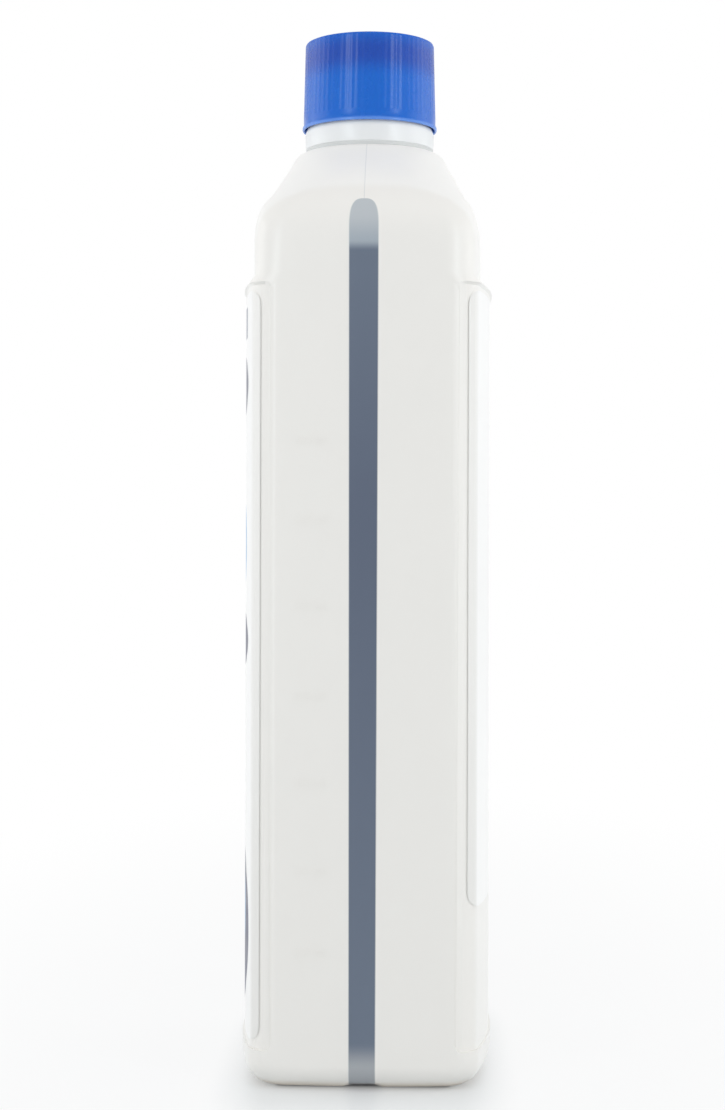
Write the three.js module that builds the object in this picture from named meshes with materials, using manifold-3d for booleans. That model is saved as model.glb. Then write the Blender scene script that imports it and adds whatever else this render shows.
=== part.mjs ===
// One-litre blow-moulded detergent bottle with a push-and-turn safety closure.
// Millimetres, +Z up. X is the width of the bottle and Y its depth. The front label faces -Y
// and the clear level strip runs up the +X side. The origin is the middle of the base.
import * as THREE from "three";
import Module from "manifold-3d";
import { mergeVertices } from "three/addons/utils/BufferGeometryUtils.js";

const wasm = await Module();
wasm.setup();

// Body
const BODY_W = 84;             // overall width along X
const BODY_D = 66;             // overall depth along Y, at the middle of the label panels
const CHEST_D = 59.6;          // depth above the panels, where the faces are flatter
const TOTAL_H = 271.5;         // overall height with the closure on
const CLOSURE_H = 29.6;        // from the top of the shoulder to the top of the closure
const SHOULDER_H = 27.4;       // height over which the body draws in to the neck
const CHEST_H = 11.2;          // from the top of the label panels to the shoulder
const WALL = 0.9;              // wall of the blown body
const FACE_R = 175;            // bulge of the front and back faces at the panels
const CHEST_R = 363;           // bulge of the faces above the panels
const SIDE_R = 260;            // slight bulge of the narrow sides
const CORNER_R = 8.5;          // upright corners
const BASE_FILLET = 6;         // rounding of the base edge
const TOP_R = 17.6;            // round top of the shoulder, as wide as the closure

// Label panels
const PANEL_DEPTH = 0.55;      // recess of the panels
const PANEL_Y = 23;            // how far a panel reaches round onto the narrow sides
const PANEL_Z0 = 9.5;
const PANEL_CORNER_R = 2.5;
const CHEST_RISE = 2.2;        // height of the slope from the panel in to the chest
const LABEL_T = 0.25;          // thickness of a label film
const FIT_GAP = 0.3;           // clearance between pieces that touch on the real bottle
const LABEL_INSET = 3.5;       // from the panel's upright edge to the label's edge
const LABEL_INSET_Z = 1.8;     // from the panel's lower and upper edge to the label's
const LABEL_CORNER_R = 4;
const BACK_LABEL_Z0 = 45.5;    // lower edge of the back label, which is shorter

// Base
const PUSH_UP = 3.2;           // hollow under the base
const HOLLOW = [[0, 1], [0.55, 0.93], [0.85, 0.8], [1, 0.6]]; // shares of its height and width
const STAND_W = 5.5;           // width of the ring it stands on
const NOTCH_W = 11.3;          // pinch-off notch through the standing ring
const NOTCH_H = 1.2;
const SEAM_W = 1.6;            // pinch-off seam under the base
const SEAM_H = 0.6;
const SEAM_LAP = 2;            // how far the seam runs into the standing ring

// Neck finish
const NECK_R = 12.5;           // outside of the neck below the thread
const BORE_R = 10.9;           // mouth of the bottle
const THREAD_R = 13.7;         // over the thread
const PITCH = 4.233;
const THREAD_TURNS = 1.4;
const THREAD_ROOT_H = 2.4;     // height of a thread where it stands on its wall
const THREAD_TIP_H = 1.0;      // and at its crest
const THREAD_DROP = 1.6;       // plain lip above the thread
const THREAD_BURY = 0.4;       // how far a thread is sunk into its wall
const LEAD_STEPS = 5;          // steps over which a thread's end rises
const BEAD_R = 14.5;           // bead that keeps the tamper ring on the neck
const BEAD_H = 1.5;
const BEAD_SLOPE = 0.9;        // width of the bead's sloping upper edge
const NECK_SINK = 6;           // how far the neck runs down into the shoulder
const BORE_SINK = 4;           // and how far its bore does
const CHAMFER = 0.5;

// Closure, from the top down
const SHELL_TOP_T = 1.2;
const PUSH_TRAVEL = 1.2;       // push that brings the drive lugs into mesh
const LUG_H = PUSH_TRAVEL;
const CAP_TOP_T = 1.2;
const SEAL_T = 1.0;
const SEAL_R = 13.2;
const SHELL_LIP_R = 18.05;     // flared lower lip of the shell
const LIP_IN_R = 17.6;         // inside of the lip, which slides down over the tamper ring
const LIP_CONE_H = 3.2;        // height of the flare inside the lip
const SHELL_BOT_R = 17.7;
const SHELL_TOP_R = 17.25;
const SHELL_WALL = 1.3;
const SHELL_EDGE_R = 0.7;      // rounding of the top edge
const BAND_H = 3.2;            // smooth band above the lip
const RIB_COUNT = 64;
const RIB_DEPTH = 0.16;
const LIP_H = 1.4;             // height of the flare outside the lip
const EDGE = 0.3;              // rounding of the small edges
const CAP_WALL = 1.25;
const CAP_THREAD_TURNS = 1.1;
const LUG_COUNT = 8;
const LUG_SHARE = 0.8;         // share of a lug's pitch that the lug takes up
const LUG_TOP_SHARE = 0.3;     // share of that at the lug's crest, past its ramp
const LUG_SINK = 0.2;
const LUG_IN_R = 6;            // inner and outer ends of the drive lugs
const LUG_OUT_R = 13.5;
const RING_GAP = 0.9;          // shadow gap between the shoulder and the tamper ring
const RING_H = 5.5;            // visible height of the tamper ring
const RING_BOT_R = 17.15;
const RING_WALL = 1.2;
const RING_LAP = 0.4;          // how far the ring reaches up inside the shell's lip
const HOOK_H = 1.2;            // hook of the ring under the bead
const SNAP_RISE = 5.2;         // from the shell's lower edge to the inner cap's flange
const SNAP_H = 1.3;
const SNAP_OVERLAP = 0.35;     // how far the shell's snap bead reaches under the flange

// Heights and radii that follow from the sizes above
const LEDGE_Z = TOTAL_H - CLOSURE_H;
const SHOULDER_Z = LEDGE_Z - SHOULDER_H;
const PANEL_Z1 = SHOULDER_Z - CHEST_H;
const RING_Z0 = LEDGE_Z + RING_GAP;
const SHELL_Z0 = RING_Z0 + RING_H;
const SNAP_Z = SHELL_Z0 + SNAP_RISE;
const lugSpace = 2 * LUG_H + FIT_GAP;
const capTopZ = TOTAL_H - SHELL_TOP_T - lugSpace;
const sealTopZ = capTopZ - CAP_TOP_T - FIT_GAP;
const sealZ0 = sealTopZ - SEAL_T;
const neckTopZ = sealZ0 - FIT_GAP;
const capBoreR = THREAD_R + FIT_GAP;
const capOutR = capBoreR + CAP_WALL;
const capZ0 = SHELL_Z0 + PUSH_TRAVEL + FIT_GAP;
const threadTopZ = neckTopZ - THREAD_DROP - THREAD_ROOT_H / 2;
const threadZ0 = threadTopZ - PITCH * THREAD_TURNS;
const beadTopZ = capZ0 - FIT_GAP;
const shellInR = SHELL_BOT_R - SHELL_WALL;
const snapR = shellInR - FIT_GAP;
const lipSlope = (LIP_IN_R - shellInR) / LIP_CONE_H;

const CORNER_STEPS = 6;
const FACE_STEPS = 8;
const SIDE_STEPS = 6;
const ROUND_STEPS = 48;
const FILLET_STEPS = 4;
const THREAD_STEPS = 36;       // per turn
const CUT_OVER = 1;            // how far a cut runs past the surface it opens

function toManifold(geometry) {
  const g = geometry.index ? geometry.toNonIndexed() : geometry.clone();
  g.deleteAttribute("normal");
  g.deleteAttribute("uv");
  const m = mergeVertices(g, 1e-4);
  return new wasm.Manifold(new wasm.Mesh({
    numProp: 3,
    vertProperties: new Float32Array(m.attributes.position.array),
    triVerts: new Uint32Array(m.index.array),
  }));
}

function toGeometry(manifold) {
  const mesh = manifold.getMesh();
  const g = new THREE.BufferGeometry();
  const count = mesh.vertProperties.length / mesh.numProp;
  const pos = new Float32Array(count * 3);
  for (let i = 0; i < count; i++) {
    for (let k = 0; k < 3; k++) pos[3 * i + k] = mesh.vertProperties[mesh.numProp * i + k];
  }
  g.setAttribute("position", new THREE.BufferAttribute(pos, 3));
  g.setIndex(new THREE.BufferAttribute(new Uint32Array(mesh.triVerts), 1));
  g.computeVertexNormals();
  return g;
}

// A closed skin over a stack of rings that all have the same number of points.
function skin(rings) {
  const n = rings[0].length;
  const pos = [];
  const index = [];
  for (const ring of rings) for (const p of ring) pos.push(p[0], p[1], p[2]);
  for (let r = 0; r + 1 < rings.length; r++) {
    for (let i = 0; i < n; i++) {
      const j = (i + 1) % n;
      const a = r * n + i;
      const b = r * n + j;
      index.push(a, b, b + n, a, b + n, a + n);
    }
  }
  const cap = (r, flip) => {
    const c = pos.length / 3;
    const mid = rings[r].reduce((s, p) => [s[0] + p[0] / n, s[1] + p[1] / n, s[2] + p[2] / n],
      [0, 0, 0]);
    pos.push(...mid);
    for (let i = 0; i < n; i++) {
      const a = r * n + i;
      const b = r * n + ((i + 1) % n);
      index.push(...(flip ? [c, b, a] : [c, a, b]));
    }
  };
  cap(0, true);
  cap(rings.length - 1, false);
  const g = new THREE.BufferGeometry();
  g.setAttribute("position", new THREE.BufferAttribute(new Float32Array(pos), 3));
  g.setIndex(index);
  return g;
}

// Outline of the body as unit-scaled points with their outward normals: a flat-bulged
// rectangle made of face, side and corner arcs that meet tangentially.
function bodyOutline(depth, faceR) {
  const a = BODY_W / 2;
  const b = depth / 2;
  const face = [0, b - faceR];
  const side = [a - SIDE_R, 0];
  const d = Math.hypot(face[0] - side[0], face[1] - side[1]);
  const r0 = faceR - CORNER_R;
  const r1 = SIDE_R - CORNER_R;
  const t = (r0 * r0 - r1 * r1 + d * d) / (2 * d);
  const h = Math.sqrt(r0 * r0 - t * t);
  const ux = (side[0] - face[0]) / d;
  const uy = (side[1] - face[1]) / d;
  const options = [1, -1].map((s) => [face[0] + t * ux - s * h * uy, face[1] + t * uy + s * h * ux]);
  const corner = options.find((p) => p[0] > 0 && p[1] > 0);
  const sideEnd = Math.atan2(corner[1] - side[1], corner[0] - side[0]);
  const faceEnd = Math.atan2(corner[1] - face[1], corner[0] - face[0]);
  const quarter = [];
  const arc = (centre, radius, from, to, steps) => {
    for (let i = 0; i < steps; i++) {
      const q = from + ((to - from) * i) / steps;
      quarter.push([centre[0] + radius * Math.cos(q), centre[1] + radius * Math.sin(q), q]);
    }
  };
  arc(side, SIDE_R, 0, sideEnd, SIDE_STEPS / 2);
  arc(corner, CORNER_R, sideEnd, faceEnd, CORNER_STEPS);
  arc(face, faceR, faceEnd, Math.PI / 2, FACE_STEPS / 2);
  const right = [...quarter, [0, b, Math.PI / 2]];
  const left = right.slice(1, -1).reverse().map(([x, y, q]) => [-x, y, Math.PI - q]);
  const upper = [...right, ...left];
  const lower = upper.map(([x, y, q]) => [-x, -y, q + Math.PI]);
  return [...upper, ...lower].map(([x, y, q]) => ({
    u: x / a, v: y / b, c: Math.cos(q), s: Math.sin(q),
  }));
}
const PANEL_OUTLINE = bodyOutline(BODY_D, FACE_R);
const CHEST_OUTLINE = bodyOutline(CHEST_D, CHEST_R);

// One level of the body: half width, half depth, how much of the chest's flatter outline
// it has, and how round it is.
function level(z, halfW, halfD, chest, round, inset = 0) {
  const mix = (p, q, k) => p + (q - p) * k;
  return PANEL_OUTLINE.map((p, i) => {
    const q = CHEST_OUTLINE[i];
    const x = mix(mix(p.u, q.u, chest), mix(p.c, q.c, chest), round);
    const y = mix(mix(p.v, q.v, chest), mix(p.s, q.s, chest), round);
    return [(halfW - inset) * x, (halfD - inset) * y, z];
  });
}

// Shoulder: share of its height, and how far the half width and half depth still are from
// the round top, as shares, and the roundness of the outline.
const SHOULDER = [
  [0, 1, 1, 0],
  [0.128, 0.984, 0.985, 0.03],
  [0.241, 0.947, 0.945, 0.1],
  [0.358, 0.877, 0.862, 0.22],
  [0.474, 0.77, 0.70, 0.4],
  [0.595, 0.635, 0.575, 0.6],
  [0.712, 0.475, 0.462, 0.76],
  [0.828, 0.303, 0.32, 0.88],
  [0.934, 0.135, 0.205, 0.96],
  [0.978, 0.053, 0.12, 1],
  [1, 0, 0, 1],
];

// Levels of the body above the label panels, from the bottom up.
function upperLevels() {
  const panel = [PANEL_Z1, BODY_W / 2, BODY_D / 2, 0, 0];
  const chest = [PANEL_Z1 + CHEST_RISE, BODY_W / 2, CHEST_D / 2, 1, 0];
  const shoulder = SHOULDER.map(([t, w, d, round]) => [
    SHOULDER_Z + SHOULDER_H * t,
    TOP_R + (BODY_W / 2 - TOP_R) * w,
    TOP_R + (CHEST_D / 2 - TOP_R) * d,
    1, round,
  ]);
  return [panel, chest, ...shoulder];
}

// The whole body as a solid, drawn in by an inset on every side.
function bodySolid(inset) {
  const rings = [];
  for (let i = 0; i <= FILLET_STEPS; i++) {
    const q = (Math.PI / 2) * (i / FILLET_STEPS);
    const draw = BASE_FILLET * (1 - Math.sin(q)) + inset;
    const z = inset + BASE_FILLET * (1 - Math.cos(q));
    rings.push(level(z, BODY_W / 2, BODY_D / 2, 0, 0, draw));
  }
  for (const [z, w, d, chest, round] of upperLevels()) {
    const drop = inset * Math.max(0, (z - SHOULDER_Z) / SHOULDER_H);
    rings.push(level(z - drop, w, d, chest, round, inset));
  }
  return toManifold(skin(rings));
}

function box(x0, x1, y0, y1, z0, z1) {
  const g = new THREE.BoxGeometry(x1 - x0, y1 - y0, z1 - z0);
  g.translate((x0 + x1) / 2, (y0 + y1) / 2, (z0 + z1) / 2);
  return toManifold(g);
}

function turned(points, steps = ROUND_STEPS) {
  const g = new THREE.LatheGeometry(points.map(([r, z]) => new THREE.Vector2(r, z)), steps);
  g.rotateX(Math.PI / 2);
  return toManifold(g);
}

// Block of the space beside the body on the front (sign -1) or back (sign 1) label side,
// with rounded edges on the narrow sides.
function panelBlock(sign, edge, z0, z1, radius) {
  const shape = new THREE.Shape();
  shape.moveTo(BODY_D, z0);
  shape.lineTo(BODY_D, z1);
  shape.lineTo(edge + radius, z1);
  shape.absarc(edge + radius, z1 - radius, radius, Math.PI / 2, Math.PI, false);
  shape.lineTo(edge, z0 + radius);
  shape.absarc(edge + radius, z0 + radius, radius, Math.PI, 1.5 * Math.PI, false);
  shape.closePath();
  const g = new THREE.ExtrudeGeometry(shape, { depth: 2 * BODY_W, bevelEnabled: false,
    curveSegments: 4 });
  g.translate(0, 0, -BODY_W);
  g.rotateX(Math.PI / 2);
  g.rotateZ(Math.PI / 2);
  if (sign < 0) g.rotateZ(Math.PI);
  return toManifold(g);
}

// The body drawn in by an inset, with both label panels pressed in.
function panelledBody(inset) {
  let body = bodySolid(inset);
  const floor = bodySolid(inset + PANEL_DEPTH);
  for (const sign of [-1, 1]) {
    const block = panelBlock(sign, PANEL_Y - inset, PANEL_Z0 - inset, PANEL_Z1 + inset,
      PANEL_CORNER_R + inset);
    body = body.subtract(block.subtract(floor));
  }
  return body;
}

// The hollow under the base, lifted for the inside of the wall.
function baseHollow(lift) {
  const halfW = BODY_W / 2 - BASE_FILLET - STAND_W + lift;
  const halfD = BODY_D / 2 - BASE_FILLET - STAND_W + lift;
  const rings = [level(-CUT_OVER, halfW, halfD, 0, 0)];
  for (const [k, q] of HOLLOW) {
    rings.push(level(k * PUSH_UP + lift, halfW * q, halfD * q, 0, 0));
  }
  return toManifold(skin(rings));
}

// Pinch-off notch: a low arch cut through the standing ring along the parting plane.
function pinchNotch(lift) {
  const shape = new THREE.Shape();
  const w = NOTCH_W / 2 + lift;
  const h = NOTCH_H + lift;
  shape.moveTo(-w, -CUT_OVER);
  shape.lineTo(-w, 0);
  shape.quadraticCurveTo(-w * 0.75, h, -w * 0.3, h);
  shape.lineTo(w * 0.3, h);
  shape.quadraticCurveTo(w * 0.75, h, w, 0);
  shape.lineTo(w, -CUT_OVER);
  const g = new THREE.ExtrudeGeometry(shape, { depth: BODY_W + 2 * CUT_OVER, bevelEnabled: false,
    curveSegments: 5 });
  g.rotateX(Math.PI / 2);
  g.rotateZ(Math.PI / 2);
  g.translate(-BODY_W / 2 - CUT_OVER, 0, 0);
  return toManifold(g);
}

// Screw ridge on a wall of radius wallR, standing out (or in) to tipR.
function screwRidge(wallR, tipR, z0, turns, startAngle) {
  const steps = Math.ceil(turns * THREAD_STEPS);
  const bury = Math.sign(wallR - tipR) * THREAD_BURY;
  const rings = [];
  for (let i = 0; i <= steps; i++) {
    const turn = (turns * i) / steps;
    const q = startAngle + turn * 2 * Math.PI;
    const z = z0 + PITCH * turn;
    const lead = Math.min(1, Math.min(i, steps - i) / LEAD_STEPS);
    const tip = wallR + (tipR - wallR) * (0.15 + 0.85 * lead);
    const half = THREAD_ROOT_H / 2;
    const half1 = THREAD_TIP_H / 2;
    const ring = [[wallR + bury, -half], [wallR, -half], [tip, -half1], [tip, half1],
      [wallR, half], [wallR + bury, half]];
    rings.push(ring.map(([r, dz]) => [r * Math.cos(q), r * Math.sin(q), z + dz]));
  }
  const solid = toManifold(skin(rings));
  return solid.volume() < 0 ? toManifold(skin(rings.reverse())) : solid;
}

function neckSolid() {
  return turned([
    [0, LEDGE_Z - NECK_SINK], [NECK_R, LEDGE_Z - NECK_SINK], [NECK_R, beadTopZ - BEAD_H],
    [BEAD_R, beadTopZ - BEAD_H], [BEAD_R, beadTopZ - CHAMFER], [BEAD_R - BEAD_SLOPE, beadTopZ],
    [NECK_R, beadTopZ], [NECK_R, neckTopZ - CHAMFER], [NECK_R - CHAMFER, neckTopZ],
    [0, neckTopZ],
  ]);
}

// The blown bottle in one piece: body, label recesses, base and threaded neck.
function buildBottle() {
  let outside = panelledBody(0).add(neckSolid());
  outside = outside.add(screwRidge(NECK_R, THREAD_R, threadZ0, THREAD_TURNS, 0));
  outside = outside.subtract(baseHollow(0)).subtract(pinchNotch(0));
  const seamEnd = BODY_W / 2 - BASE_FILLET - STAND_W + SEAM_LAP;
  const seam = box(-seamEnd, seamEnd, -SEAM_W / 2, SEAM_W / 2, PUSH_UP - SEAM_H,
    PUSH_UP + WALL / 2);
  const inside = panelledBody(WALL).subtract(baseHollow(WALL)).subtract(pinchNotch(WALL));
  const bore = turned([[0, LEDGE_Z - BORE_SINK], [BORE_R, LEDGE_Z - BORE_SINK],
    [BORE_R, neckTopZ + CUT_OVER], [0, neckTopZ + CUT_OVER]]);
  return outside.add(seam).subtract(inside).subtract(bore);
}

// Label film lying in its panel, wrapped round the front or back face and both corners.
function buildLabel(sign) {
  const outer = bodySolid(PANEL_DEPTH - FIT_GAP - LABEL_T);
  const inner = bodySolid(PANEL_DEPTH - FIT_GAP);
  const z0 = sign < 0 ? PANEL_Z0 + LABEL_INSET_Z : BACK_LABEL_Z0;
  const z1 = PANEL_Z1 - LABEL_INSET_Z;
  const block = panelBlock(sign, PANEL_Y + LABEL_INSET, z0, z1, LABEL_CORNER_R);
  return outer.subtract(inner).intersect(block);
}

// Inside radius of the shell's flared lip at a height.
function lipInside(z) {
  return LIP_IN_R - lipSlope * (z - SHELL_Z0);
}

// Tamper ring that stays on the neck below the bead when the closure is opened. Its top
// tapers inside the shell's lip and clears it when the shell is pushed down.
function buildRing() {
  const top = SHELL_Z0 + RING_LAP;
  const topR = lipInside(top + PUSH_TRAVEL) - FIT_GAP;
  const hookR = NECK_R + FIT_GAP;
  const hookTop = beadTopZ - BEAD_H - FIT_GAP;
  const foot = RING_BOT_R - RING_WALL;
  return turned([
    [foot, RING_Z0], [RING_BOT_R - EDGE, RING_Z0], [RING_BOT_R, RING_Z0 + EDGE],
    [LIP_IN_R - FIT_GAP, SHELL_Z0 - PUSH_TRAVEL], [topR, top], [topR - RING_WALL, top],
    [BEAD_R + FIT_GAP, hookTop], [hookR, hookTop], [hookR, hookTop - HOOK_H],
    [foot - CHAMFER, hookTop - HOOK_H - CHAMFER], [foot, RING_Z0],
  ]);
}

// Ratchet lugs on a flat, rising from z0 to z1, turned by an angle.
function lugs(z0, z1, turn) {
  let all = null;
  const width = (Math.PI / LUG_COUNT) * LUG_SHARE;
  for (let i = 0; i < LUG_COUNT; i++) {
    const q0 = turn + (2 * Math.PI * i) / LUG_COUNT - width / 2;
    const rings = [];
    for (const z of [z0, z1]) {
      const ring = [];
      const slope = z === z1 ? LUG_TOP_SHARE : 1;
      for (const [r, side] of [[LUG_IN_R, 0], [LUG_OUT_R, 0], [LUG_OUT_R, 1], [LUG_IN_R, 1]]) {
        const q = q0 + side * width * slope;
        ring.push([r * Math.cos(q), r * Math.sin(q), z]);
      }
      rings.push(ring);
    }
    const up = z1 > z0 ? rings : rings.reverse();
    const lug = toManifold(skin(up));
    all = all ? all.add(lug) : lug;
  }
  return all;
}

// Threaded inner cap, hidden under the shell, with the driven lugs on its top.
function buildInnerCap() {
  const under = capTopZ - CAP_TOP_T;
  const cup = turned([
    [0, under], [capBoreR, under], [capBoreR, capZ0], [capOutR, capZ0],
    [capOutR, SNAP_Z], [snapR, SNAP_Z], [snapR, SNAP_Z + SNAP_H - CHAMFER],
    [capOutR, SNAP_Z + SNAP_H], [capOutR, capTopZ - CHAMFER], [capOutR - CHAMFER, capTopZ],
    [0, capTopZ],
  ]);
  const tip = NECK_R + FIT_GAP;
  const lag = THREAD_TURNS - CAP_THREAD_TURNS;
  const start = threadZ0 + PITCH * (lag - 0.5);
  const ridge = screwRidge(capBoreR, tip, start, CAP_THREAD_TURNS, 2 * Math.PI * lag);
  return cup.add(ridge).add(lugs(capTopZ - LUG_SINK, capTopZ + LUG_H, 0));
}

function buildSeal() {
  const r = SEAL_R;
  return turned([[0, sealZ0], [r - EDGE, sealZ0], [r, sealZ0 + EDGE], [r, sealTopZ - EDGE],
    [r - EDGE, sealTopZ], [0, sealTopZ]]);
}

// One level of the ribbed shell: rib crests stand out from the radius by the depth.
function ribRing(r, z, depth) {
  const ring = [];
  for (let i = 0; i < RIB_COUNT; i++) {
    for (const [k, out] of [[0, 0], [0.33, 1], [0.67, 1]]) {
      const q = ((i + k) / RIB_COUNT) * 2 * Math.PI;
      const rr = r - depth * (1 - out);
      ring.push([rr * Math.cos(q), rr * Math.sin(q), z]);
    }
  }
  return ring;
}

// Blue outer shell: ribbed side, smooth band and flared lip, rounded top edge, drive lugs.
function buildShell() {
  const bandTop = SHELL_Z0 + BAND_H;
  const e = SHELL_EDGE_R;
  const rings = [
    ribRing(SHELL_LIP_R - EDGE / 3, SHELL_Z0, 0),
    ribRing(SHELL_LIP_R, SHELL_Z0 + EDGE, 0),
    ribRing(SHELL_LIP_R, SHELL_Z0 + LIP_H / 2, 0),
    ribRing(SHELL_BOT_R, SHELL_Z0 + LIP_H, 0),
    ribRing(SHELL_BOT_R, bandTop - EDGE, 0),
    ribRing(SHELL_BOT_R, bandTop, RIB_DEPTH),
    ribRing(SHELL_TOP_R, TOTAL_H - e, RIB_DEPTH),
    ribRing(SHELL_TOP_R - e * 0.3, TOTAL_H - e * 0.3, RIB_DEPTH * 0.5),
    ribRing(SHELL_TOP_R - e, TOTAL_H, 0),
  ];
  const under = TOTAL_H - SHELL_TOP_T;
  const topInR = SHELL_TOP_R - SHELL_WALL;
  const snapTop = SNAP_Z - FIT_GAP;
  const snapIn = snapR - SNAP_OVERLAP;
  const open = SHELL_Z0 - CUT_OVER;
  const hollow = turned([[0, open], [lipInside(open), open],
    [shellInR, SHELL_Z0 + LIP_CONE_H], [shellInR, snapTop - SNAP_H], [snapIn, snapTop - SNAP_H / 2],
    [snapIn, snapTop], [shellInR, snapTop], [topInR, under - CHAMFER], [topInR - CHAMFER, under],
    [0, under]]);
  const turn = Math.PI / LUG_COUNT;
  return toManifold(skin(rings)).subtract(hollow).add(lugs(under + LUG_SINK, under - LUG_H, turn));
}

const MATERIALS = {
  bottle: { color: 0xe4e6e3, roughness: 0.38, metalness: 0 },
  label: { color: 0xf3f5f7, roughness: 0.25, metalness: 0 },
  ring: { color: 0xe6ebee, roughness: 0.35, metalness: 0 },
  inner: { color: 0xeef0f0, roughness: 0.45, metalness: 0 },
  seal: { color: 0xf2f2ee, roughness: 0.7, metalness: 0 },
  shell: { color: 0x2f63bd, roughness: 0.3, metalness: 0 },
};

function piece(name, solid, look) {
  const mesh = new THREE.Mesh(toGeometry(solid), new THREE.MeshStandardMaterial(MATERIALS[look]));
  mesh.name = name;
  return mesh;
}

const root = new THREE.Group();
root.name = "detergent_bottle";
root.add(piece("bottle", buildBottle(), "bottle"));
root.add(piece("front_label", buildLabel(-1), "label"));
root.add(piece("back_label", buildLabel(1), "label"));
root.add(piece("tamper_ring", buildRing(), "ring"));
root.add(piece("inner_cap", buildInnerCap(), "inner"));
root.add(piece("seal_disc", buildSeal(), "seal"));
root.add(piece("cap_shell", buildShell(), "shell"));

export default root;
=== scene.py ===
"""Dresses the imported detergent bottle: plastics, label print, volume marks, light and camera.

Metres, in the frame of the CAD: X is the width, Y the depth, +Z up. The clear level strip
is on the +X side and the front label on the -Y side.
"""
import math

import bpy
import bmesh
from mathutils import Matrix, Vector


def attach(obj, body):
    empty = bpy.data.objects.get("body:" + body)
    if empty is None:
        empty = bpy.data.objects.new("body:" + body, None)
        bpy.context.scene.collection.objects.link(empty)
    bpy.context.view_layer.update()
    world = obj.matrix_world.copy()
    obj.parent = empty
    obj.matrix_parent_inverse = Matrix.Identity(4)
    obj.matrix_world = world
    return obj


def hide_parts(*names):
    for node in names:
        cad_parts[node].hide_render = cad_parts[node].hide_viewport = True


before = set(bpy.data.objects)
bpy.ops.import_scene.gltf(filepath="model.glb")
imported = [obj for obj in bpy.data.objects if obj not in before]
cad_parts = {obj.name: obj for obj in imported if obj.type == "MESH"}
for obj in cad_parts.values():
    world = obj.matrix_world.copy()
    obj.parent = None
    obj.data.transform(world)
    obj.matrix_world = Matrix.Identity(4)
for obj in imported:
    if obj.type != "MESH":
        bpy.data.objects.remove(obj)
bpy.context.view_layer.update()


def srgb(r, g, b):
    """A picture colour of 0 to 255 as the linear colour that a shader takes."""
    def one(v):
        v /= 255.0
        return v / 12.92 if v <= 0.04045 else ((v + 0.055) / 1.055) ** 2.4
    return (one(r), one(g), one(b), 1.0)


# Camera, fitted to the photograph
CAM_DISTANCE = 0.600
CAM_HEIGHT = 0.1344
CAM_AZIMUTH = 91.7
CAM_LENS = 72.28
CAM_SENSOR = 36.0
CAM_PAN = -0.155
CAM_ROLL = 0.15
CAM_CLIP = (0.01, 50.0)

# Body: the crowned narrow side, and where the broad faces turn into the corners. The narrow side
# is painted in shade and the broad faces painted lighter, as the light falls on them.
SIDE_X = 0.042
SIDE_R = 0.260
FACE_X0 = 0.0346
FACE_X1 = 0.0370
# Painted shade on the narrow side, painted light on the broad faces, of one plastic.
NARROW_SHADED_TONE = srgb(234, 232, 228)
BROAD_LIT_TONE = srgb(239, 238, 235)
# A painted warm glow of light through the thin base edge, up to these heights.
FOOT_GLOW_TONE = srgb(230, 221, 209)
FOOT_GLOW_Z = (0.0006, 0.0026)
BODY_CLOUDS = 0.015
BODY_CLOUD_SCALE = 60.0
BODY_ROUGH = (0.36, 0.44)
BODY_ROUGH_SCALE = 420.0
BODY_IOR = 1.5
BODY_SCATTER = 0.04
BODY_SCATTER_R = 0.0008

# Clear level strip, and the painted shade in the pinch-off notch below it
STRIP_Y = -0.00015
STRIP_HALF_TOP = 0.0037
STRIP_HALF_BOTTOM = 0.0033
STRIP_TOP_Z = 0.2242
STRIP_ROUND = 0.0082
STRIP_ROUND_POWER = 3.0
STRIP_ROUND_ROOT = 0.333
STRIP_SOFT = 0.0002
STRIP_FOOT_Z = (0.0005, 0.0012)
STRIP_GLOSS = 0.08
LEVEL_Z = 0.2120
LEVEL_SOFT = 0.0014
EMPTY_FADE = 0.008
EMPTY_LOW = srgb(156, 166, 176)
EMPTY_HIGH = srgb(178, 184, 189)
LIQUID_LOW = srgb(99, 111, 128)
LIQUID_MIDDLE = srgb(82, 93, 113)
LIQUID_HIGH = srgb(94, 106, 124)
LIQUID_MIDDLE_Z = (0.14, 0.15)
LIQUID_HIGH_Z = 0.205
STRIP_FOOT_TONE = srgb(160, 164, 169)
STRIP_FADE_Z = (0.0055, 0.0125)
# Painted shade in the notch of the pinch-off: half width, softness, heights and tone.
NOTCH_SHADE_HALF = 0.0034
NOTCH_SHADE_SOFT = 0.0012
NOTCH_SHADE_Z = (0.0009, 0.0022)
NOTCH_SHADE_TONE = srgb(84, 76, 74)

# Relief of blown plastic, as shares of the bump
SEAM_HALF = 0.00025
SEAM_SHARE = 0.08
GRAIN_SHARE = 0.25
GRAIN_SCALE = 700.0
GRAIN_STRETCH = (1, 1, 0.5)
RIPPLE_SHARE = 0.8
RIPPLE_SCALE = 45.0
RIPPLE_STRETCH = (1, 1, 0.35)
RELIEF_STRENGTH = 0.35
RELIEF_DEPTH = 0.00012

# Walls of the label panels, and the core of the body that outward directions start from
PANEL_LOW_Z = 0.015
PANEL_HIGH_Z = 0.2125
PANEL_SLANT = 0.0007
CORE_X = 0.03
CORE_Y = 0.02
STEEP = math.radians(60.0)
FACING = 0.75
SIDEWAYS = 0.5

# Label films: how far their inner and outer faces move, inside and at the rim
FILM_DROP = 0.000285
FILM_SINK = 0.000505
RIM_DROP = 0.000297
RIM_SINK = 0.000542
LABEL_ROUGH = (0.3, 0.38)
LABEL_ROUGH_SCALE = 240.0
LABEL_WAVE_SCALE = 120.0
LABEL_WAVE_STRENGTH = 0.15
LABEL_WAVE_DEPTH = 0.00008
LABEL_SPECULAR = 0.4

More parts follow.
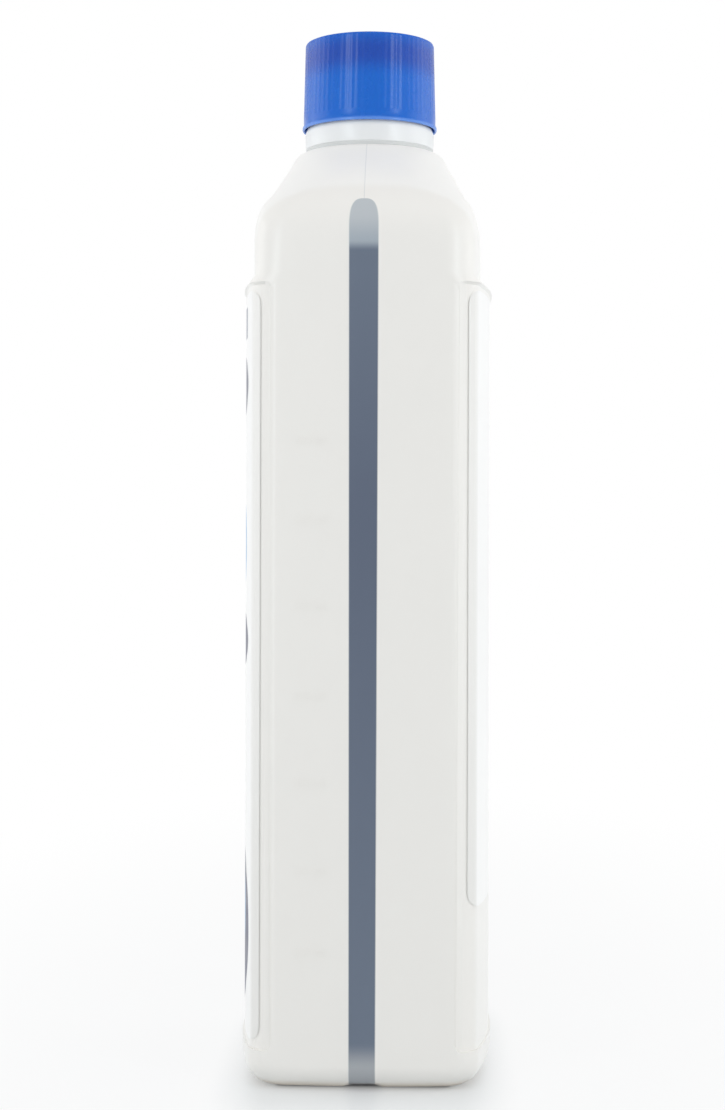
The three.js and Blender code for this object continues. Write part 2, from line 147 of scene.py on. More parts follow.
# The white of the print, the painted shade of its margin where the film turns the corner, and the
# inks: colour, cloudiness, cloud scale
MARGIN_SHADED_TONE = (srgb(228, 227, 224), 0.012, 80.0)
PRINT_WHITE = (srgb(244, 244, 243), 0.010, 80.0)
INKS = {
    "navy": (srgb(38, 52, 88), 0.10, 200.0),
    "sky": (srgb(120, 170, 214), 0.06, 160.0),
    "grey": (srgb(150, 156, 166), 0.05, 120.0),
    "slate": (srgb(96, 108, 130), 0.05, 120.0),
}

# Generic art, each as shape, ink and place: bars by x0, x1, z0, z1, ovals by centre and radii
FRONT_ART = (
    ("bar", "slate", -0.030, 0.0245, 0.1905, 0.1985),
    ("oval", "navy", 0.0, 0.1785, 0.0278, 0.0098),
    ("oval", "sky", 0.0, 0.1375, 0.0235, 0.0150),
    ("oval", "white", -0.001, 0.1375, 0.0190, 0.0115),
    ("oval", "navy", 0.0, 0.1125, 0.0288, 0.0086),
    ("oval", "navy", 0.0, 0.0385, 0.0318, 0.0235),
    ("oval", "sky", -0.004, 0.0425, 0.0245, 0.0170),
    ("oval", "white", -0.007, 0.0455, 0.0200, 0.0125),
)
TEXT_X0 = -0.031
TEXT_X1 = 0.004
LINE_PITCH = 0.0052
LINE_H = 0.0016
UPPER_LINES = 9
UPPER_LINES_Z = 0.170
UPPER_SHORT_X1 = -0.012
LOWER_LINES = 5
LOWER_LINES_Z = 0.078
LOWER_INDENT = 0.009
BACK_TITLE = ("bar", "sky", TEXT_X0, TEXT_X1, 0.180, 0.192)
BACK_PANEL = (
    ("bar", "sky", TEXT_X0, TEXT_X1, 0.116, 0.119),
    ("bar", "navy", TEXT_X0, -0.009, 0.088, 0.110),
    ("bar", "white", -0.029, -0.011, 0.090, 0.108),
    ("oval", "sky", -0.020, 0.099, 0.006, 0.006),
)

# Closure: its ribs, the blues of its side, and a painted highlight on its lip
RIBS = 64
RIB_FILL = 0.00007
RIB_IN_R = 0.0167
RIB_Z0 = 0.2513
RIB_Z1 = 0.2710
RIB_CREST_SHARE = 0.05
SHELL_TOP_Z = 0.2715
SHELL_TOP_SKIN = 0.0001
SHELL_LOW = (srgb(13, 98, 197), srgb(19, 102, 203))
SHELL_HIGH = (srgb(22, 71, 169), srgb(28, 76, 175))
SHELL_HIGH_Z = (0.2625, 0.2702)
SHELL_HIGH_SOFT = 0.0030
SHELL_LIP_HIGHLIGHT = srgb(92, 140, 222)
SHELL_LIP_HIGHLIGHT_Z = (0.2486, 0.2494)
SHELL_CLOUD_SCALE = 90.0
SHELL_ROUGH = (0.245, 0.295)
SHELL_ROUGH_SCALE = 220.0
SHELL_TOP_ROUGH = 0.35
SHELL_TOP_FADE = (0.0004, 0.0001)
SHELL_WAVE_SCALE = 150.0
SHELL_WAVE_STRENGTH = 0.12
SHELL_WAVE_DEPTH = 0.00004
SHELL_SPECULAR = 0.24
SHELL_SCATTER = 0.15
SHELL_SCATTER_R = (0.001, 0.001, 0.002)

# Tamper ring, its set-back foot in a painted shade, and the hidden pieces
RING_TONE = srgb(229, 231, 232)
RING_FOOT_PAINTED_SHADE = srgb(206, 208, 208)
RING_FOOT_R = (0.0157, 0.0169)
RING_FOOT_Z = (0.24205, 0.2431)
RING_FOOT_STEPS = 96
INNER_TONE = srgb(240, 242, 242)
SEAL_TONE = srgb(240, 240, 234)
PLASTIC_CLOUD_SCALE = 90.0
PLASTIC_ROUGH_SCALE = 260.0
PLASTIC_GRAIN_SCALE = 780.0
PLASTIC_GRAIN_STRENGTH = 0.2
PLASTIC_GRAIN_DEPTH = 0.00004
PLASTIC_SCATTER_R = 0.0015

# Embossed volume marks, ended on one upright line left of the strip
MARK_HEIGHTS = (0.0345, 0.0550, 0.0771, 0.0988, 0.1214, 0.1430, 0.1631)
MARK_END_Y = -0.0092
MARK_DEPTH = 0.00012
MARK_SIZE = 0.0030

# Shading of copied pieces
SHARP = math.radians(35.0)
MERGE = 2e-6

# Floor and room. Around the bottle's footprint the floor's white glow gives way to a painted
# shadow, stretched toward the camera, over the rendered one.
FLOOR_Z = -0.0002
FLOOR_SIZE = 4.0
FLOOR_TONE = ((0.70, 0.727, 0.735, 1.0), 0.01, 6.0)
FLOOR_ROUGH = 0.3
FOOT_X = 0.0322
FOOT_Y = 0.021
FLOOR_STRETCH_X = 3.0
CONTACT_REACH = (0.0003, 0.002)
FLOOR_RISE = 0.005
FLOOR_NEAR = 0.020
FLOOR_FAR = 0.22
FLOOR_GLOW = 0.81
FLOOR_CONTACT = 0.30
WORLD_LIGHT = 0.73
WORLD_TONE = (0.98, 0.99, 1.0, 1.0)
WHITE = (1.0, 1.0, 1.0, 1.0)

# Lamps: name, place, height aimed at, width, power. All are 0.9 high.
LAMP_H = 0.9
GLINT_TONE = (0.8, 0.95, 1.0)
LAMPS = (
    ("key_top", (0.45, 0.0, 1.0), 0.13, 0.9, 1.0),
    ("side_left", (-0.15, -0.85, 0.25), 0.13, 0.7, 2.6),
    ("side_right", (-0.15, 0.85, 0.25), 0.13, 0.7, 2.6),
    ("front_left", (0.755, -0.527, 0.20), 0.14, 0.08, 1.7),
    ("front_right", (0.615, 0.686, 0.20), 0.14, 0.08, 1.7),
)
GLINT_LAMPS = (
    ("glint_left", (0.755, -0.527, 0.20), 0.14, 0.055, 2.0),
    ("glint_right", (0.615, 0.686, 0.20), 0.14, 0.055, 2.0),
)


def material(name):
    """A new material with its node tree and its surface node."""
    mat = bpy.data.materials.new(name)
    mat.use_nodes = True
    nt = mat.node_tree
    nt.nodes.clear()
    out = nt.nodes.new("ShaderNodeOutputMaterial")
    bsdf = nt.nodes.new("ShaderNodeBsdfPrincipled")
    nt.links.new(bsdf.outputs["BSDF"], out.inputs["Surface"])
    return mat, nt, bsdf


class Net:
    """Short names for the node calls that the materials repeat."""

    def __init__(self, nt):
        self.nt = nt
        self.coord = nt.nodes.new("ShaderNodeTexCoord").outputs["Object"]
        split = nt.nodes.new("ShaderNodeSeparateXYZ")
        nt.links.new(self.coord, split.inputs[0])
        self.x, self.y, self.z = split.outputs

    def put(self, socket, value):
        """Links a socket, or sets it where the value is a number or a colour."""
        if isinstance(value, bpy.types.NodeSocket):
            self.nt.links.new(value, socket)
        else:
            socket.default_value = value

    def math(self, op, a, b=0.0, clamp=False):
        node = self.nt.nodes.new("ShaderNodeMath")
        node.operation = op
        node.use_clamp = clamp
        for socket, value in zip(node.inputs, (a, b)):
            self.put(socket, value)
        return node.outputs[0]

    def step(self, value, low, high):
        """0 at low, 1 at high, smooth between. Low may be the greater."""
        node = self.nt.nodes.new("ShaderNodeMapRange")
        node.interpolation_type = "SMOOTHSTEP"
        self.put(node.inputs["Value"], value)
        node.inputs["From Min"].default_value = low
        node.inputs["From Max"].default_value = high
        return node.outputs["Result"]

    def band(self, value, low, high, soft):
        """1 between low and high."""
        up = self.step(value, low - soft, low + soft)
        down = self.step(value, high - soft, high + soft)
        return self.math("SUBTRACT", up, down, clamp=True)

    def noise(self, scale, detail=3.0, stretch=(1, 1, 1)):
        mapping = self.nt.nodes.new("ShaderNodeMapping")
        mapping.inputs["Scale"].default_value = stretch
        self.nt.links.new(self.coord, mapping.inputs["Vector"])
        node = self.nt.nodes.new("ShaderNodeTexNoise")
        node.inputs["Scale"].default_value = scale
        node.inputs["Detail"].default_value = detail
        self.nt.links.new(mapping.outputs[0], node.inputs["Vector"])
        return node.outputs["Fac"]

    def ramp(self, value, low, high, to_low, to_high):
        """A straight ramp from to_low at low to to_high at high."""
        node = self.nt.nodes.new("ShaderNodeMapRange")
        self.put(node.inputs["Value"], value)
        node.inputs["From Min"].default_value = low
        node.inputs["From Max"].default_value = high
        node.inputs["To Min"].default_value = to_low
        node.inputs["To Max"].default_value = to_high
        return node.outputs["Result"]

    def mix(self, factor, a, b):
        node = self.nt.nodes.new("ShaderNodeMix")
        node.data_type = "RGBA"
        self.put(node.inputs[0], factor)
        self.put(node.inputs[6], a)
        self.put(node.inputs[7], b)
        return node.outputs[2]

    def bump(self, height, strength, distance):
        node = self.nt.nodes.new("ShaderNodeBump")
        node.inputs["Strength"].default_value = strength
        node.inputs["Distance"].default_value = distance
        self.nt.links.new(height, node.inputs["Height"])
        return node.outputs["Normal"]


def tint(net, colour, amount, scale):
    """A colour with a faint cloudy variation of brightness."""
    dark = tuple(c * (1 - amount) for c in colour[:3]) + (1.0,)
    return net.mix(net.noise(scale, 4.0), dark, colour)


def rough_range(net, scale, low, high, detail=3.0):
    """Roughness that drifts between low and high with a noise of the given scale."""
    return net.ramp(net.noise(scale, detail), 0.3, 0.7, low, high)


def scatter_light(bsdf, weight, radius):
    """Lets light soften inside the plastic, over a radius for each colour."""
    bsdf.inputs["Subsurface Weight"].default_value = weight
    bsdf.inputs["Subsurface Radius"].default_value = radius
    bsdf.inputs["Subsurface Scale"].default_value = 1.0


def strip_side(net):
    """1 on the +X half of the bottle."""
    return net.step(net.x, 0.0, 0.002)


def broad_face(net):
    """1 on the broad front and back faces, 0 on the narrow sides and the corners: the split
    between the painted lit and painted shaded tones.
    """
    return net.step(net.math("ABSOLUTE", net.x), FACE_X1, FACE_X0)


def strip_mask(net):
    """1 on the clear strip, which has a rounded top and stops just above the base."""
    centred = net.math("ABSOLUTE", net.math("SUBTRACT", net.y, STRIP_Y))
    half = net.ramp(net.z, 0.0, STRIP_TOP_Z, STRIP_HALF_BOTTOM, STRIP_HALF_TOP)
    past = net.ramp(net.z, STRIP_TOP_Z - STRIP_ROUND, STRIP_TOP_Z, 0.0, 1.0)
    left_over = net.math("SUBTRACT", 1.0, net.math("POWER", past, STRIP_ROUND_POWER), clamp=True)
    round_top = net.math("POWER", left_over, STRIP_ROUND_ROOT)
    edge = net.math("SUBTRACT", net.math("MULTIPLY", half, round_top), centred)
    mask = net.step(edge, -STRIP_SOFT, STRIP_SOFT)
    mask = net.math("MULTIPLY", mask, strip_side(net))
    return net.math("MULTIPLY", mask, net.step(net.z, *STRIP_FOOT_Z))


def strip_colour(net):
    """The liquid seen through the strip, clearer above its level and paler at the foot."""
    empty = net.mix(net.step(net.z, LEVEL_Z, LEVEL_Z + EMPTY_FADE), EMPTY_LOW, EMPTY_HIGH)
    rise = net.ramp(net.z, 0.0, LIQUID_MIDDLE_Z[0], 0.0, 1.0)
    deep = net.mix(rise, LIQUID_LOW, LIQUID_MIDDLE)
    rise = net.ramp(net.z, LIQUID_MIDDLE_Z[1], LIQUID_HIGH_Z, 0.0, 1.0)
    full = net.mix(rise, deep, LIQUID_HIGH)
    foot = net.mix(net.step(net.z, *STRIP_FADE_Z), STRIP_FOOT_TONE, full)
    return net.mix(net.step(net.z, LEVEL_Z - LEVEL_SOFT, LEVEL_Z + LEVEL_SOFT), foot, empty)


def notch_shade_mask(net):
    """1 in the notch of the pinch-off, under the strip, where shade is painted."""
    mask = net.math("MULTIPLY", net.band(net.y, -NOTCH_SHADE_HALF, NOTCH_SHADE_HALF, NOTCH_SHADE_SOFT), strip_side(net))
    return net.math("MULTIPLY", mask, net.step(net.z, NOTCH_SHADE_Z[1], NOTCH_SHADE_Z[0]))


def blown_relief(net, strip):
    """Height of the parting line, the grain and the slow ripple of blown plastic."""
    ridge = net.step(net.math("ABSOLUTE", net.y), SEAM_HALF, 0.0)
    ridge = net.math("MULTIPLY", ridge, net.math("SUBTRACT", 1.0, strip))
    grain = net.math("MULTIPLY", net.noise(GRAIN_SCALE, 3.0, GRAIN_STRETCH), GRAIN_SHARE)
    ripple = net.math("MULTIPLY", net.noise(RIPPLE_SCALE, 2.0, RIPPLE_STRETCH), RIPPLE_SHARE)
    seam = net.math("MULTIPLY", ridge, SEAM_SHARE)
    return net.math("ADD", net.math("ADD", grain, ripple), seam)


def bottle_material(name, scatter):
    """Milky blown plastic with the clear strip, painted shade in the pinch-off notch, a painted
    warm glow along the foot, and broad faces painted lighter than the narrow sides.
    """
    mat, nt, bsdf = material(name)
    net = Net(nt)
    # The narrow side takes a painted shaded tone and the broad faces a painted lit tone of the
    # same plastic.
    narrow_shaded = tint(net, NARROW_SHADED_TONE, BODY_CLOUDS, BODY_CLOUD_SCALE)
    broad_lit = tint(net, BROAD_LIT_TONE, BODY_CLOUDS, BODY_CLOUD_SCALE)
    body = net.mix(broad_face(net), narrow_shaded, broad_lit)
    # Painted warm glow along the foot.
    wall = net.mix(net.step(net.z, *FOOT_GLOW_Z), FOOT_GLOW_TONE, body)
    strip = strip_mask(net)
    skin = net.mix(strip, wall, strip_colour(net))
    # Painted shade in the pinch-off notch.
    nt.links.new(net.mix(notch_shade_mask(net), skin, NOTCH_SHADE_TONE), bsdf.inputs["Base Color"])
    rough = rough_range(net, BODY_ROUGH_SCALE, *BODY_ROUGH, detail=2.0)
    smooth = net.math("SUBTRACT", rough, net.math("MULTIPLY", strip, STRIP_GLOSS))
    nt.links.new(smooth, bsdf.inputs["Roughness"])
    relief = net.bump(blown_relief(net, strip), RELIEF_STRENGTH, RELIEF_DEPTH)
    nt.links.new(relief, bsdf.inputs["Normal"])
    bsdf.inputs["IOR"].default_value = BODY_IOR
    if scatter:
        scatter_light(bsdf, scatter, (BODY_SCATTER_R,) * 3)
    return mat


def oval(net, cx, cz, rx, rz, soft=0.02):
    """1 inside an ellipse on the broad face."""
    dx = net.math("DIVIDE", net.math("SUBTRACT", net.x, cx), rx)
    dz = net.math("DIVIDE", net.math("SUBTRACT", net.z, cz), rz)
    squares = net.math("ADD", net.math("MULTIPLY", dx, dx), net.math("MULTIPLY", dz, dz))
    past = net.step(net.math("SQRT", squares), 1.0 - soft, 1.0 + soft)
    return net.math("SUBTRACT", 1.0, past)


def bar(net, x0, x1, z0, z1, soft=0.0002):
    """1 inside an upright rectangle on the broad face."""
    return net.math("MULTIPLY", net.band(net.x, x0, x1, soft), net.band(net.z, z0, z1, soft))


SHAPES = {"bar": bar, "oval": oval}


def back_art():
    """A title, lines of print with every fourth short, a framed sign, and lines below it."""
    art = [BACK_TITLE]
    for i in range(UPPER_LINES):
        z = UPPER_LINES_Z - LINE_PITCH * i
        right = TEXT_X1 if i % 4 != 3 else UPPER_SHORT_X1
        art.append(("bar", "grey", TEXT_X0, right, z, z + LINE_H))
    art.extend(BACK_PANEL)
    for i in range(LOWER_LINES):
        z = LOWER_LINES_Z - LINE_PITCH * i
        right = TEXT_X1 - LOWER_INDENT * (i % 2)
        art.append(("bar", "grey", TEXT_X0, right, z, z + LINE_H))
    return art


def label_material(name, art):
    """White print on the broad face, painted shade on the film where it turns onto the corner, in
    the tone of the bottle, and the art.
    """
    mat, nt, bsdf = material(name)
    net = Net(nt)
    margin_shade = tint(net, *MARGIN_SHADED_TONE)
    printed = tint(net, *PRINT_WHITE)
    # The film off the broad face takes a painted shaded tone.
    white = net.mix(broad_face(net), margin_shade, printed)
    inks = {ink: tint(net, *settings) for ink, settings in INKS.items()}
    inks["white"] = white
    paint = white
    for shape, ink, *place in art:
        paint = net.mix(SHAPES[shape](net, *place), paint, inks[ink])
    nt.links.new(paint, bsdf.inputs["Base Color"])
    gloss = rough_range(net, LABEL_ROUGH_SCALE, *LABEL_ROUGH)
    nt.links.new(gloss, bsdf.inputs["Roughness"])
    wave = net.bump(net.noise(LABEL_WAVE_SCALE, 2.0), LABEL_WAVE_STRENGTH, LABEL_WAVE_DEPTH)
    nt.links.new(wave, bsdf.inputs["Normal"])
    bsdf.inputs["Specular IOR Level"].default_value = LABEL_SPECULAR
    return mat


def plastic(name, colour, rough, variation, scatter=0.0):
    """A plain moulded plastic with a fine grain."""
    mat, nt, bsdf = material(name)
    net = Net(nt)
    cloudy = tint(net, colour, variation, PLASTIC_CLOUD_SCALE)
    nt.links.new(cloudy, bsdf.inputs["Base Color"])
    gloss = rough_range(net, PLASTIC_ROUGH_SCALE, rough - 0.04, rough + 0.05)
    nt.links.new(gloss, bsdf.inputs["Roughness"])
    grain = net.bump(net.noise(PLASTIC_GRAIN_SCALE), PLASTIC_GRAIN_STRENGTH, PLASTIC_GRAIN_DEPTH)
    nt.links.new(grain, bsdf.inputs["Normal"])
    if scatter:
        scatter_light(bsdf, scatter, (PLASTIC_SCATTER_R,) * 3)
    return mat


def shell_material():
    """Blue of the closure: deeper over the inner cap's top, clearer below, matt on its top, with a
    painted highlight on its lip.
    """
    mat, nt, bsdf = material("shell_plastic")
    net = Net(nt)
    low = net.mix(net.noise(SHELL_CLOUD_SCALE), *SHELL_LOW)
    high = net.mix(net.noise(SHELL_CLOUD_SCALE), *SHELL_HIGH)
    colour = net.mix(net.band(net.z, *SHELL_HIGH_Z, SHELL_HIGH_SOFT), low, high)
    # A painted highlight along the lip, in a lighter blue.
    lip_highlight = net.step(net.z, SHELL_LIP_HIGHLIGHT_Z[1], SHELL_LIP_HIGHLIGHT_Z[0])
    nt.links.new(net.mix(lip_highlight, colour, SHELL_LIP_HIGHLIGHT), bsdf.inputs["Base Color"])
    side = rough_range(net, SHELL_ROUGH_SCALE, *SHELL_ROUGH)
    top = net.step(net.z, SHELL_TOP_Z - SHELL_TOP_FADE[0], SHELL_TOP_Z - SHELL_TOP_FADE[1])
    rough = net.math("ADD", side, net.math("MULTIPLY", top, SHELL_TOP_ROUGH))
    nt.links.new(rough, bsdf.inputs["Roughness"])
    wave = net.bump(net.noise(SHELL_WAVE_SCALE, 2.0), SHELL_WAVE_STRENGTH, SHELL_WAVE_DEPTH)
    nt.links.new(wave, bsdf.inputs["Normal"])
    bsdf.inputs["Specular IOR Level"].default_value = SHELL_SPECULAR
    scatter_light(bsdf, SHELL_SCATTER, SHELL_SCATTER_R)
    return mat


def evenly_shaded(obj):
    """The mesh of an object with its normals led by its larger faces."""
    even = obj.modifiers.new("even_shading", "WEIGHTED_NORMAL")
    even.keep_sharp = True
    graph = bpy.context.evaluated_depsgraph_get()
    shaded = bpy.data.meshes.new_from_object(obj.evaluated_get(graph))
    obj.modifiers.clear()
    return shaded


def finer(node, name, reshape, mat, body):
    """A copy of a CAD piece with its points moved by reshape, shown in the piece's place."""
    source = bpy.data.objects[node]
    obj = bpy.data.objects.new(name, source.data.copy())
    obj.matrix_world = source.matrix_world
    bpy.context.scene.collection.objects.link(obj)
    bm = bmesh.new()
    bm.from_mesh(obj.data)
    bmesh.ops.remove_doubles(bm, verts=bm.verts, dist=MERGE)
    bm.normal_update()
    reshape(bm)
    bm.normal_update()
    for edge in bm.edges:
        edge.smooth = len(edge.link_faces) == 2 and edge.calc_face_angle() < SHARP
    for face in bm.faces:
        face.smooth = True
    bm.to_mesh(obj.data)
    bm.free()
    if "custom_normal" in obj.data.attributes:
        obj.data.attributes.remove(obj.data.attributes["custom_normal"])
    obj.data = evenly_shaded(obj)
    obj.data.materials.clear()
    obj.data.materials.append(mat)
    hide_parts(node)
    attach(obj, body)


def unchanged(bm):
    """Leaves the points where they are: only the shading of the copy is evened out."""


def outward_at(point):
    """Direction out of the body at a point of its side."""
    core_x = max(-CORE_X, min(CORE_X, point.x))
    core_y = max(-CORE_Y, min(CORE_Y, point.y))
    return (point - Vector((core_x, core_y, point.z))).normalized()


def slant_panels(bm):
    """Lays the walls of the label panels at a slant, as blown plastic takes them."""
    moves = {}
    for edge in bm.edges:
        if len(edge.link_faces) != 2 or edge.is_convex or edge.calc_face_angle() < STEEP:
            continue
        if not all(PANEL_LOW_Z < v.co.z < PANEL_HIGH_Z for v in edge.verts):
            continue
        out = outward_at((edge.verts[0].co + edge.verts[1].co) / 2)
        floor, wall = sorted(edge.link_faces, key=lambda f: -f.normal.dot(out))
        if floor.normal.dot(out) < FACING:
            continue
        for v in edge.verts:
            moves[v] = moves.get(v, Vector()) + wall.normal
    for v, move in moves.items():
        v.co += move.normalized() * PANEL_SLANT


def thin_film(bm):
    """Thins a label to a film that lies on the floor of its panel."""
    moves = []
    for v in bm.verts:
        out = outward_at(v.co)
        inward = [f.normal for f in v.link_faces if f.normal.dot(out) < -FACING]
        outward = [f.normal for f in v.link_faces if f.normal.dot(out) > FACING]
        rim = any(abs(f.normal.dot(out)) < SIDEWAYS for f in v.link_faces)
        if inward:
            drop = RIM_DROP if rim else FILM_DROP
            moves.append((v, sum(inward, Vector()).normalized() * drop))
        elif outward:
            sink = RIM_SINK if rim else FILM_SINK
            moves.append((v, sum(outward, Vector()).normalized() * -sink))
    for v, move in moves:
        v.co += move


def soften_ribs(bm):
    """Fills the valleys between the closure's ribs, which are shallow and round-edged."""
    for v in bm.verts:
        radius = math.hypot(v.co.x, v.co.y)
        place = math.atan2(v.co.y, v.co.x) / (2 * math.pi) * RIBS
        if radius < RIB_IN_R or abs(place - round(place)) > RIB_CREST_SHARE:
            continue
        if RIB_Z0 < v.co.z < RIB_Z1:
            grow = 1.0 + RIB_FILL / radius
        elif RIB_Z1 <= v.co.z < SHELL_TOP_Z - SHELL_TOP_SKIN:
            grow = 1.0 + 0.5 * RIB_FILL / radius
        else:
            continue
        v.co.x *= grow
        v.co.y *= grow


def dress(node, mat):
    """Gives a CAD piece its material."""
    obj = bpy.data.objects[node]
    if not obj.material_slots:
        obj.data.materials.append(mat)
    for slot in obj.material_slots:
        slot.material = mat


def side_point(y, z, lift):
    """A point at the given lift above the +X narrow side."""
    angle = math.asin(y / SIDE_R)
    normal = Vector((math.cos(angle), math.sin(angle), 0.0))
    return Vector((SIDE_X - SIDE_R, 0.0, z)) + normal * (SIDE_R + lift)


def text_mesh(name, body, size, depth):
    """Flat lettering with a thickness, ended at x = 0 and centred on y = 0."""
    curve = bpy.data.curves.new(name, "FONT")
    curve.body = body
    curve.size = size
    curve.extrude = depth / 2
    curve.resolution_u = 3
    curve.align_x = "RIGHT"
    curve.align_y = "CENTER"
    temp = bpy.data.objects.new(name + "_curve", curve)
    bpy.context.scene.collection.objects.link(temp)
    graph = bpy.context.evaluated_depsgraph_get()
    mesh = bpy.data.meshes.new_from_object(temp.evaluated_get(graph))
    bpy.data.objects.remove(temp)
    bpy.data.curves.remove(curve)
    obj = bpy.data.objects.new(name, mesh)
    bpy.context.scene.collection.objects.link(obj)
    return obj


def volume_marks(mat):
    """Embossed volume numbers beside the strip."""
    for i, z in enumerate(MARK_HEIGHTS):
        name = "volume_mark_%d" % (i + 1)
        obj = text_mesh(name, "%d00 ml" % (i + 1), MARK_SIZE, MARK_DEPTH)
        for v in obj.data.vertices:
            v.co = side_point(MARK_END_Y + v.co.x, z + v.co.y, v.co.z)
        obj.data.materials.clear()
        obj.data.materials.append(mat)
        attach(obj, "bottle")


def turned(name, profile, mat, steps):
    """A ring turned about the Z axis from a closed profile of radius and height."""
    bm = bmesh.new()
    rows = []
    for i in range(steps):
        q = 2 * math.pi * i / steps
        rows.append([bm.verts.new((r * math.cos(q), r * math.sin(q), z)) for r, z in profile])
    for i in range(steps):
        here, there = rows[i], rows[(i + 1) % steps]
        for k in range(len(profile)):
            j = (k + 1) % len(profile)
            bm.faces.new((here[k], there[k], there[j], here[j]))
    bmesh.ops.recalc_face_normals(bm, faces=bm.faces)
    mesh = bpy.data.meshes.new(name)
    bm.to_mesh(mesh)
    bm.free()
    mesh.materials.append(mat)
    obj = bpy.data.objects.new(name, mesh)
    bpy.context.scene.collection.objects.link(obj)
    return obj


def ring_foot(mat):
    """Set-back foot of the tamper ring, which makes the soft line above the shoulder: a real step,
    darkened further by its painted shade colour.
    """
    (r0, r1), (z0, z1) = RING_FOOT_R, RING_FOOT_Z
    profile = [(r0, z0), (r1, z0), (r1, z1), (r0, z1)]
    foot = turned("ring_foot", profile, mat, RING_FOOT_STEPS)
    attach(foot, "bottle")


def seen_directly(nt):
    """1 for camera and glossy rays."""
    path = nt.nodes.new("ShaderNodeLightPath")
    seen = nt.nodes.new("ShaderNodeMath")
    seen.operation = "MAXIMUM"
    seen.use_clamp = True
    nt.links.new(path.outputs["Is Camera Ray"], seen.inputs[0])
    nt.links.new(path.outputs["Is Glossy Ray"], seen.inputs[1])
    return seen.outputs[0]


def beyond(net, along, reach):
    """Distance past the reach of the footprint along one axis."""
    return net.math("MAXIMUM", net.math("SUBTRACT", net.math("ABSOLUTE", along), reach), 0.0)


def floor_glow_and_painted_shadow(net):
    """How white the floor shows: least at the foot, where a painted shadow round the footprint
    lies over the rendered shadow, and 1 far away.
    """
    past_x = net.math("DIVIDE", beyond(net, net.x, FOOT_X), FLOOR_STRETCH_X)
    past_y = beyond(net, net.y, FOOT_Y)
    squares = net.math("ADD", net.math("MULTIPLY", past_x, past_x),
                       net.math("MULTIPLY", past_y, past_y))
    far = net.math("SQRT", squares)
    contact = net.math("MULTIPLY", net.step(far, *CONTACT_REACH), FLOOR_CONTACT)
    rise = net.step(far, FLOOR_RISE, FLOOR_NEAR)
    rise = net.math("MULTIPLY", rise, FLOOR_GLOW - FLOOR_CONTACT)
    run_out = net.math("MULTIPLY", net.step(far, FLOOR_NEAR, FLOOR_FAR), 1.0 - FLOOR_GLOW)
    return net.math("ADD", net.math("ADD", contact, rise), run_out)


def floor_material():
    """A satin floor that turns into plain white away from the bottle, with a painted shadow round
    its footprint.
    """
    mat, nt, bsdf = material("studio_floor")
    net = Net(nt)
    nt.links.new(tint(net, *FLOOR_TONE), bsdf.inputs["Base Color"])
    bsdf.inputs["Roughness"].default_value = FLOOR_ROUGH
    out = next(n for n in nt.nodes if n.bl_idname == "ShaderNodeOutputMaterial")
    glow = nt.nodes.new("ShaderNodeEmission")
    glow.inputs["Color"].default_value = WHITE
    glow.inputs["Strength"].default_value = 1.0
    mix = nt.nodes.new("ShaderNodeMixShader")
    # Painted shadow: the white glow is withheld round the footprint.
    nt.links.new(net.math("MULTIPLY", floor_glow_and_painted_shadow(net), seen_directly(nt)), mix.inputs[0])
    nt.links.new(bsdf.outputs[0], mix.inputs[1])
    nt.links.new(glow.outputs[0], mix.inputs[2])
    nt.links.new(mix.outputs[0], out.inputs["Surface"])
    return mat


def floor():
    """A pale floor that keeps the rendered shadow near the bottle, darkens it with a painted
    shadow round the footprint, and runs out into white.
    """
    mesh = bpy.data.meshes.new("studio_floor")
    bm = bmesh.new()
    bmesh.ops.create_grid(bm, x_segments=2, y_segments=2, size=FLOOR_SIZE)
    bm.to_mesh(mesh)
    bm.free()
    obj = bpy.data.objects.new("studio_floor", mesh)
    obj.location.z = FLOOR_Z
    mesh.materials.append(floor_material())
    bpy.context.scene.collection.objects.link(obj)


def world_light():
    """A white room to the eye and in reflections, which lights the bottle more softly."""
    world = bpy.data.worlds.new("studio_world")
    bpy.context.scene.world = world
    world.use_nodes = True
    nt = world.node_tree
    nt.nodes.clear()
    out = nt.nodes.new("ShaderNodeOutputWorld")
    light = nt.nodes.new("ShaderNodeBackground")
    light.inputs["Color"].default_value = WORLD_TONE
    light.inputs["Strength"].default_value = WORLD_LIGHT
    back = nt.nodes.new("ShaderNodeBackground")
    back.inputs["Color"].default_value = WHITE
    back.inputs["Strength"].default_value = 1.0
    mix = nt.nodes.new("ShaderNodeMixShader")
    nt.links.new(seen_directly(nt), mix.inputs[0])
    nt.links.new(light.outputs[0], mix.inputs[1])
    nt.links.new(back.outputs[0], mix.inputs[2])
    nt.links.new(mix.outputs[0], out.inputs["Surface"])


def area_light(name, place, aim_z, width, power, colour=(1, 1, 1)):
    """A soft box that points at the bottle's axis at the height aim_z."""
    data = bpy.data.lights.new(name, "AREA")
    data.shape = "RECTANGLE"
    data.size = width
    data.size_y = LAMP_H
    data.energy = power
    data.color = colour
    obj = bpy.data.objects.new(name, data)
    obj.location = place
    direction = Vector((0.0, 0.0, aim_z)) - Vector(place)
    obj.rotation_euler = direction.to_track_quat("-Z", "Y").to_euler()
    bpy.context.scene.collection.objects.link(obj)
    return obj


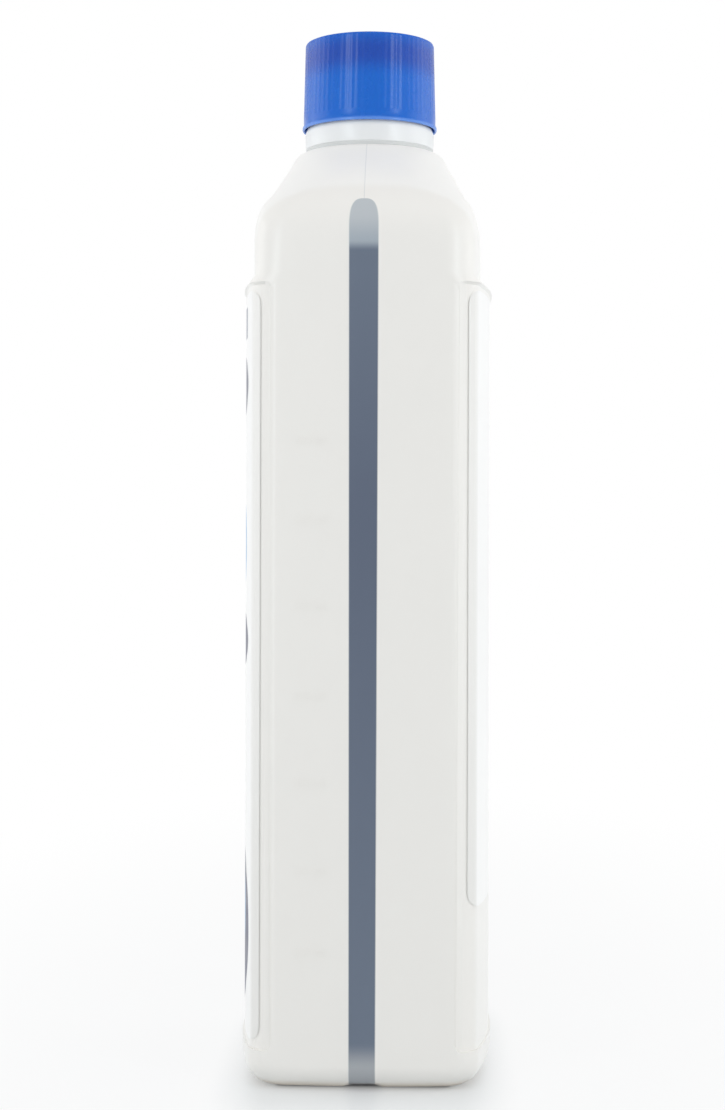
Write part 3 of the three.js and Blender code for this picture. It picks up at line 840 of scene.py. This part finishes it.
def lamps():
    """Soft boxes, and two narrow ones that only show as glints on the closure."""
    for lamp in LAMPS:
        area_light(*lamp)
    for lamp in GLINT_LAMPS:
        area_light(*lamp, GLINT_TONE).visible_diffuse = False


def camera():
    """The camera of the photograph, level but for a slight roll."""
    data = bpy.data.cameras.new("photo_camera")
    data.lens = CAM_LENS
    data.sensor_width = CAM_SENSOR
    data.sensor_fit = "AUTO"
    data.clip_start, data.clip_end = CAM_CLIP
    obj = bpy.data.objects.new("photo_camera", data)
    az = math.radians(CAM_AZIMUTH)
    back = Vector((math.sin(az), -math.cos(az), 0.0))
    right = Vector((math.cos(az), math.sin(az), 0.0))
    up = Vector((0.0, 0.0, 1.0))
    basis = Matrix((right, up, back)).transposed().to_4x4()
    pan = Matrix.Rotation(math.radians(-CAM_PAN), 4, "Y")
    roll = Matrix.Rotation(math.radians(CAM_ROLL), 4, "Z")
    place = Matrix.Translation(back * CAM_DISTANCE + up * CAM_HEIGHT)
    obj.matrix_world = place @ basis @ pan @ roll
    bpy.context.scene.collection.objects.link(obj)
    bpy.context.scene.camera = obj


def closure():
    """The tamper ring, the hidden cap and seal, and the blue shell."""
    finer("tamper_ring", "smooth_ring", unchanged,
          plastic("ring_plastic", RING_TONE, 0.35, 0.015, 0.1), "bottle")
    dress("inner_cap", plastic("inner_plastic", INNER_TONE, 0.45, 0.02))
    dress("seal_disc", plastic("seal_foam", SEAL_TONE, 0.75, 0.04))
    finer("cap_shell", "ribbed_shell", soften_ribs, shell_material(), "shell")


camera()
finer("bottle", "blown_bottle", slant_panels, bottle_material("bottle_plastic", BODY_SCATTER),
      "bottle")
finer("front_label", "front_film", thin_film, label_material("front_label_film", FRONT_ART),
      "bottle")
finer("back_label", "back_film", thin_film, label_material("back_label_film", back_art()),
      "bottle")
closure()
volume_marks(bottle_material("mark_plastic", 0.0))
# The ring foot is coloured in a painted shade of the ring's white.
ring_foot(plastic("ring_foot_painted_shade", RING_FOOT_PAINTED_SHADE, 0.5, 0.02))

floor()
world_light()
lamps()

bpy.context.scene.view_settings.view_transform = "Standard"
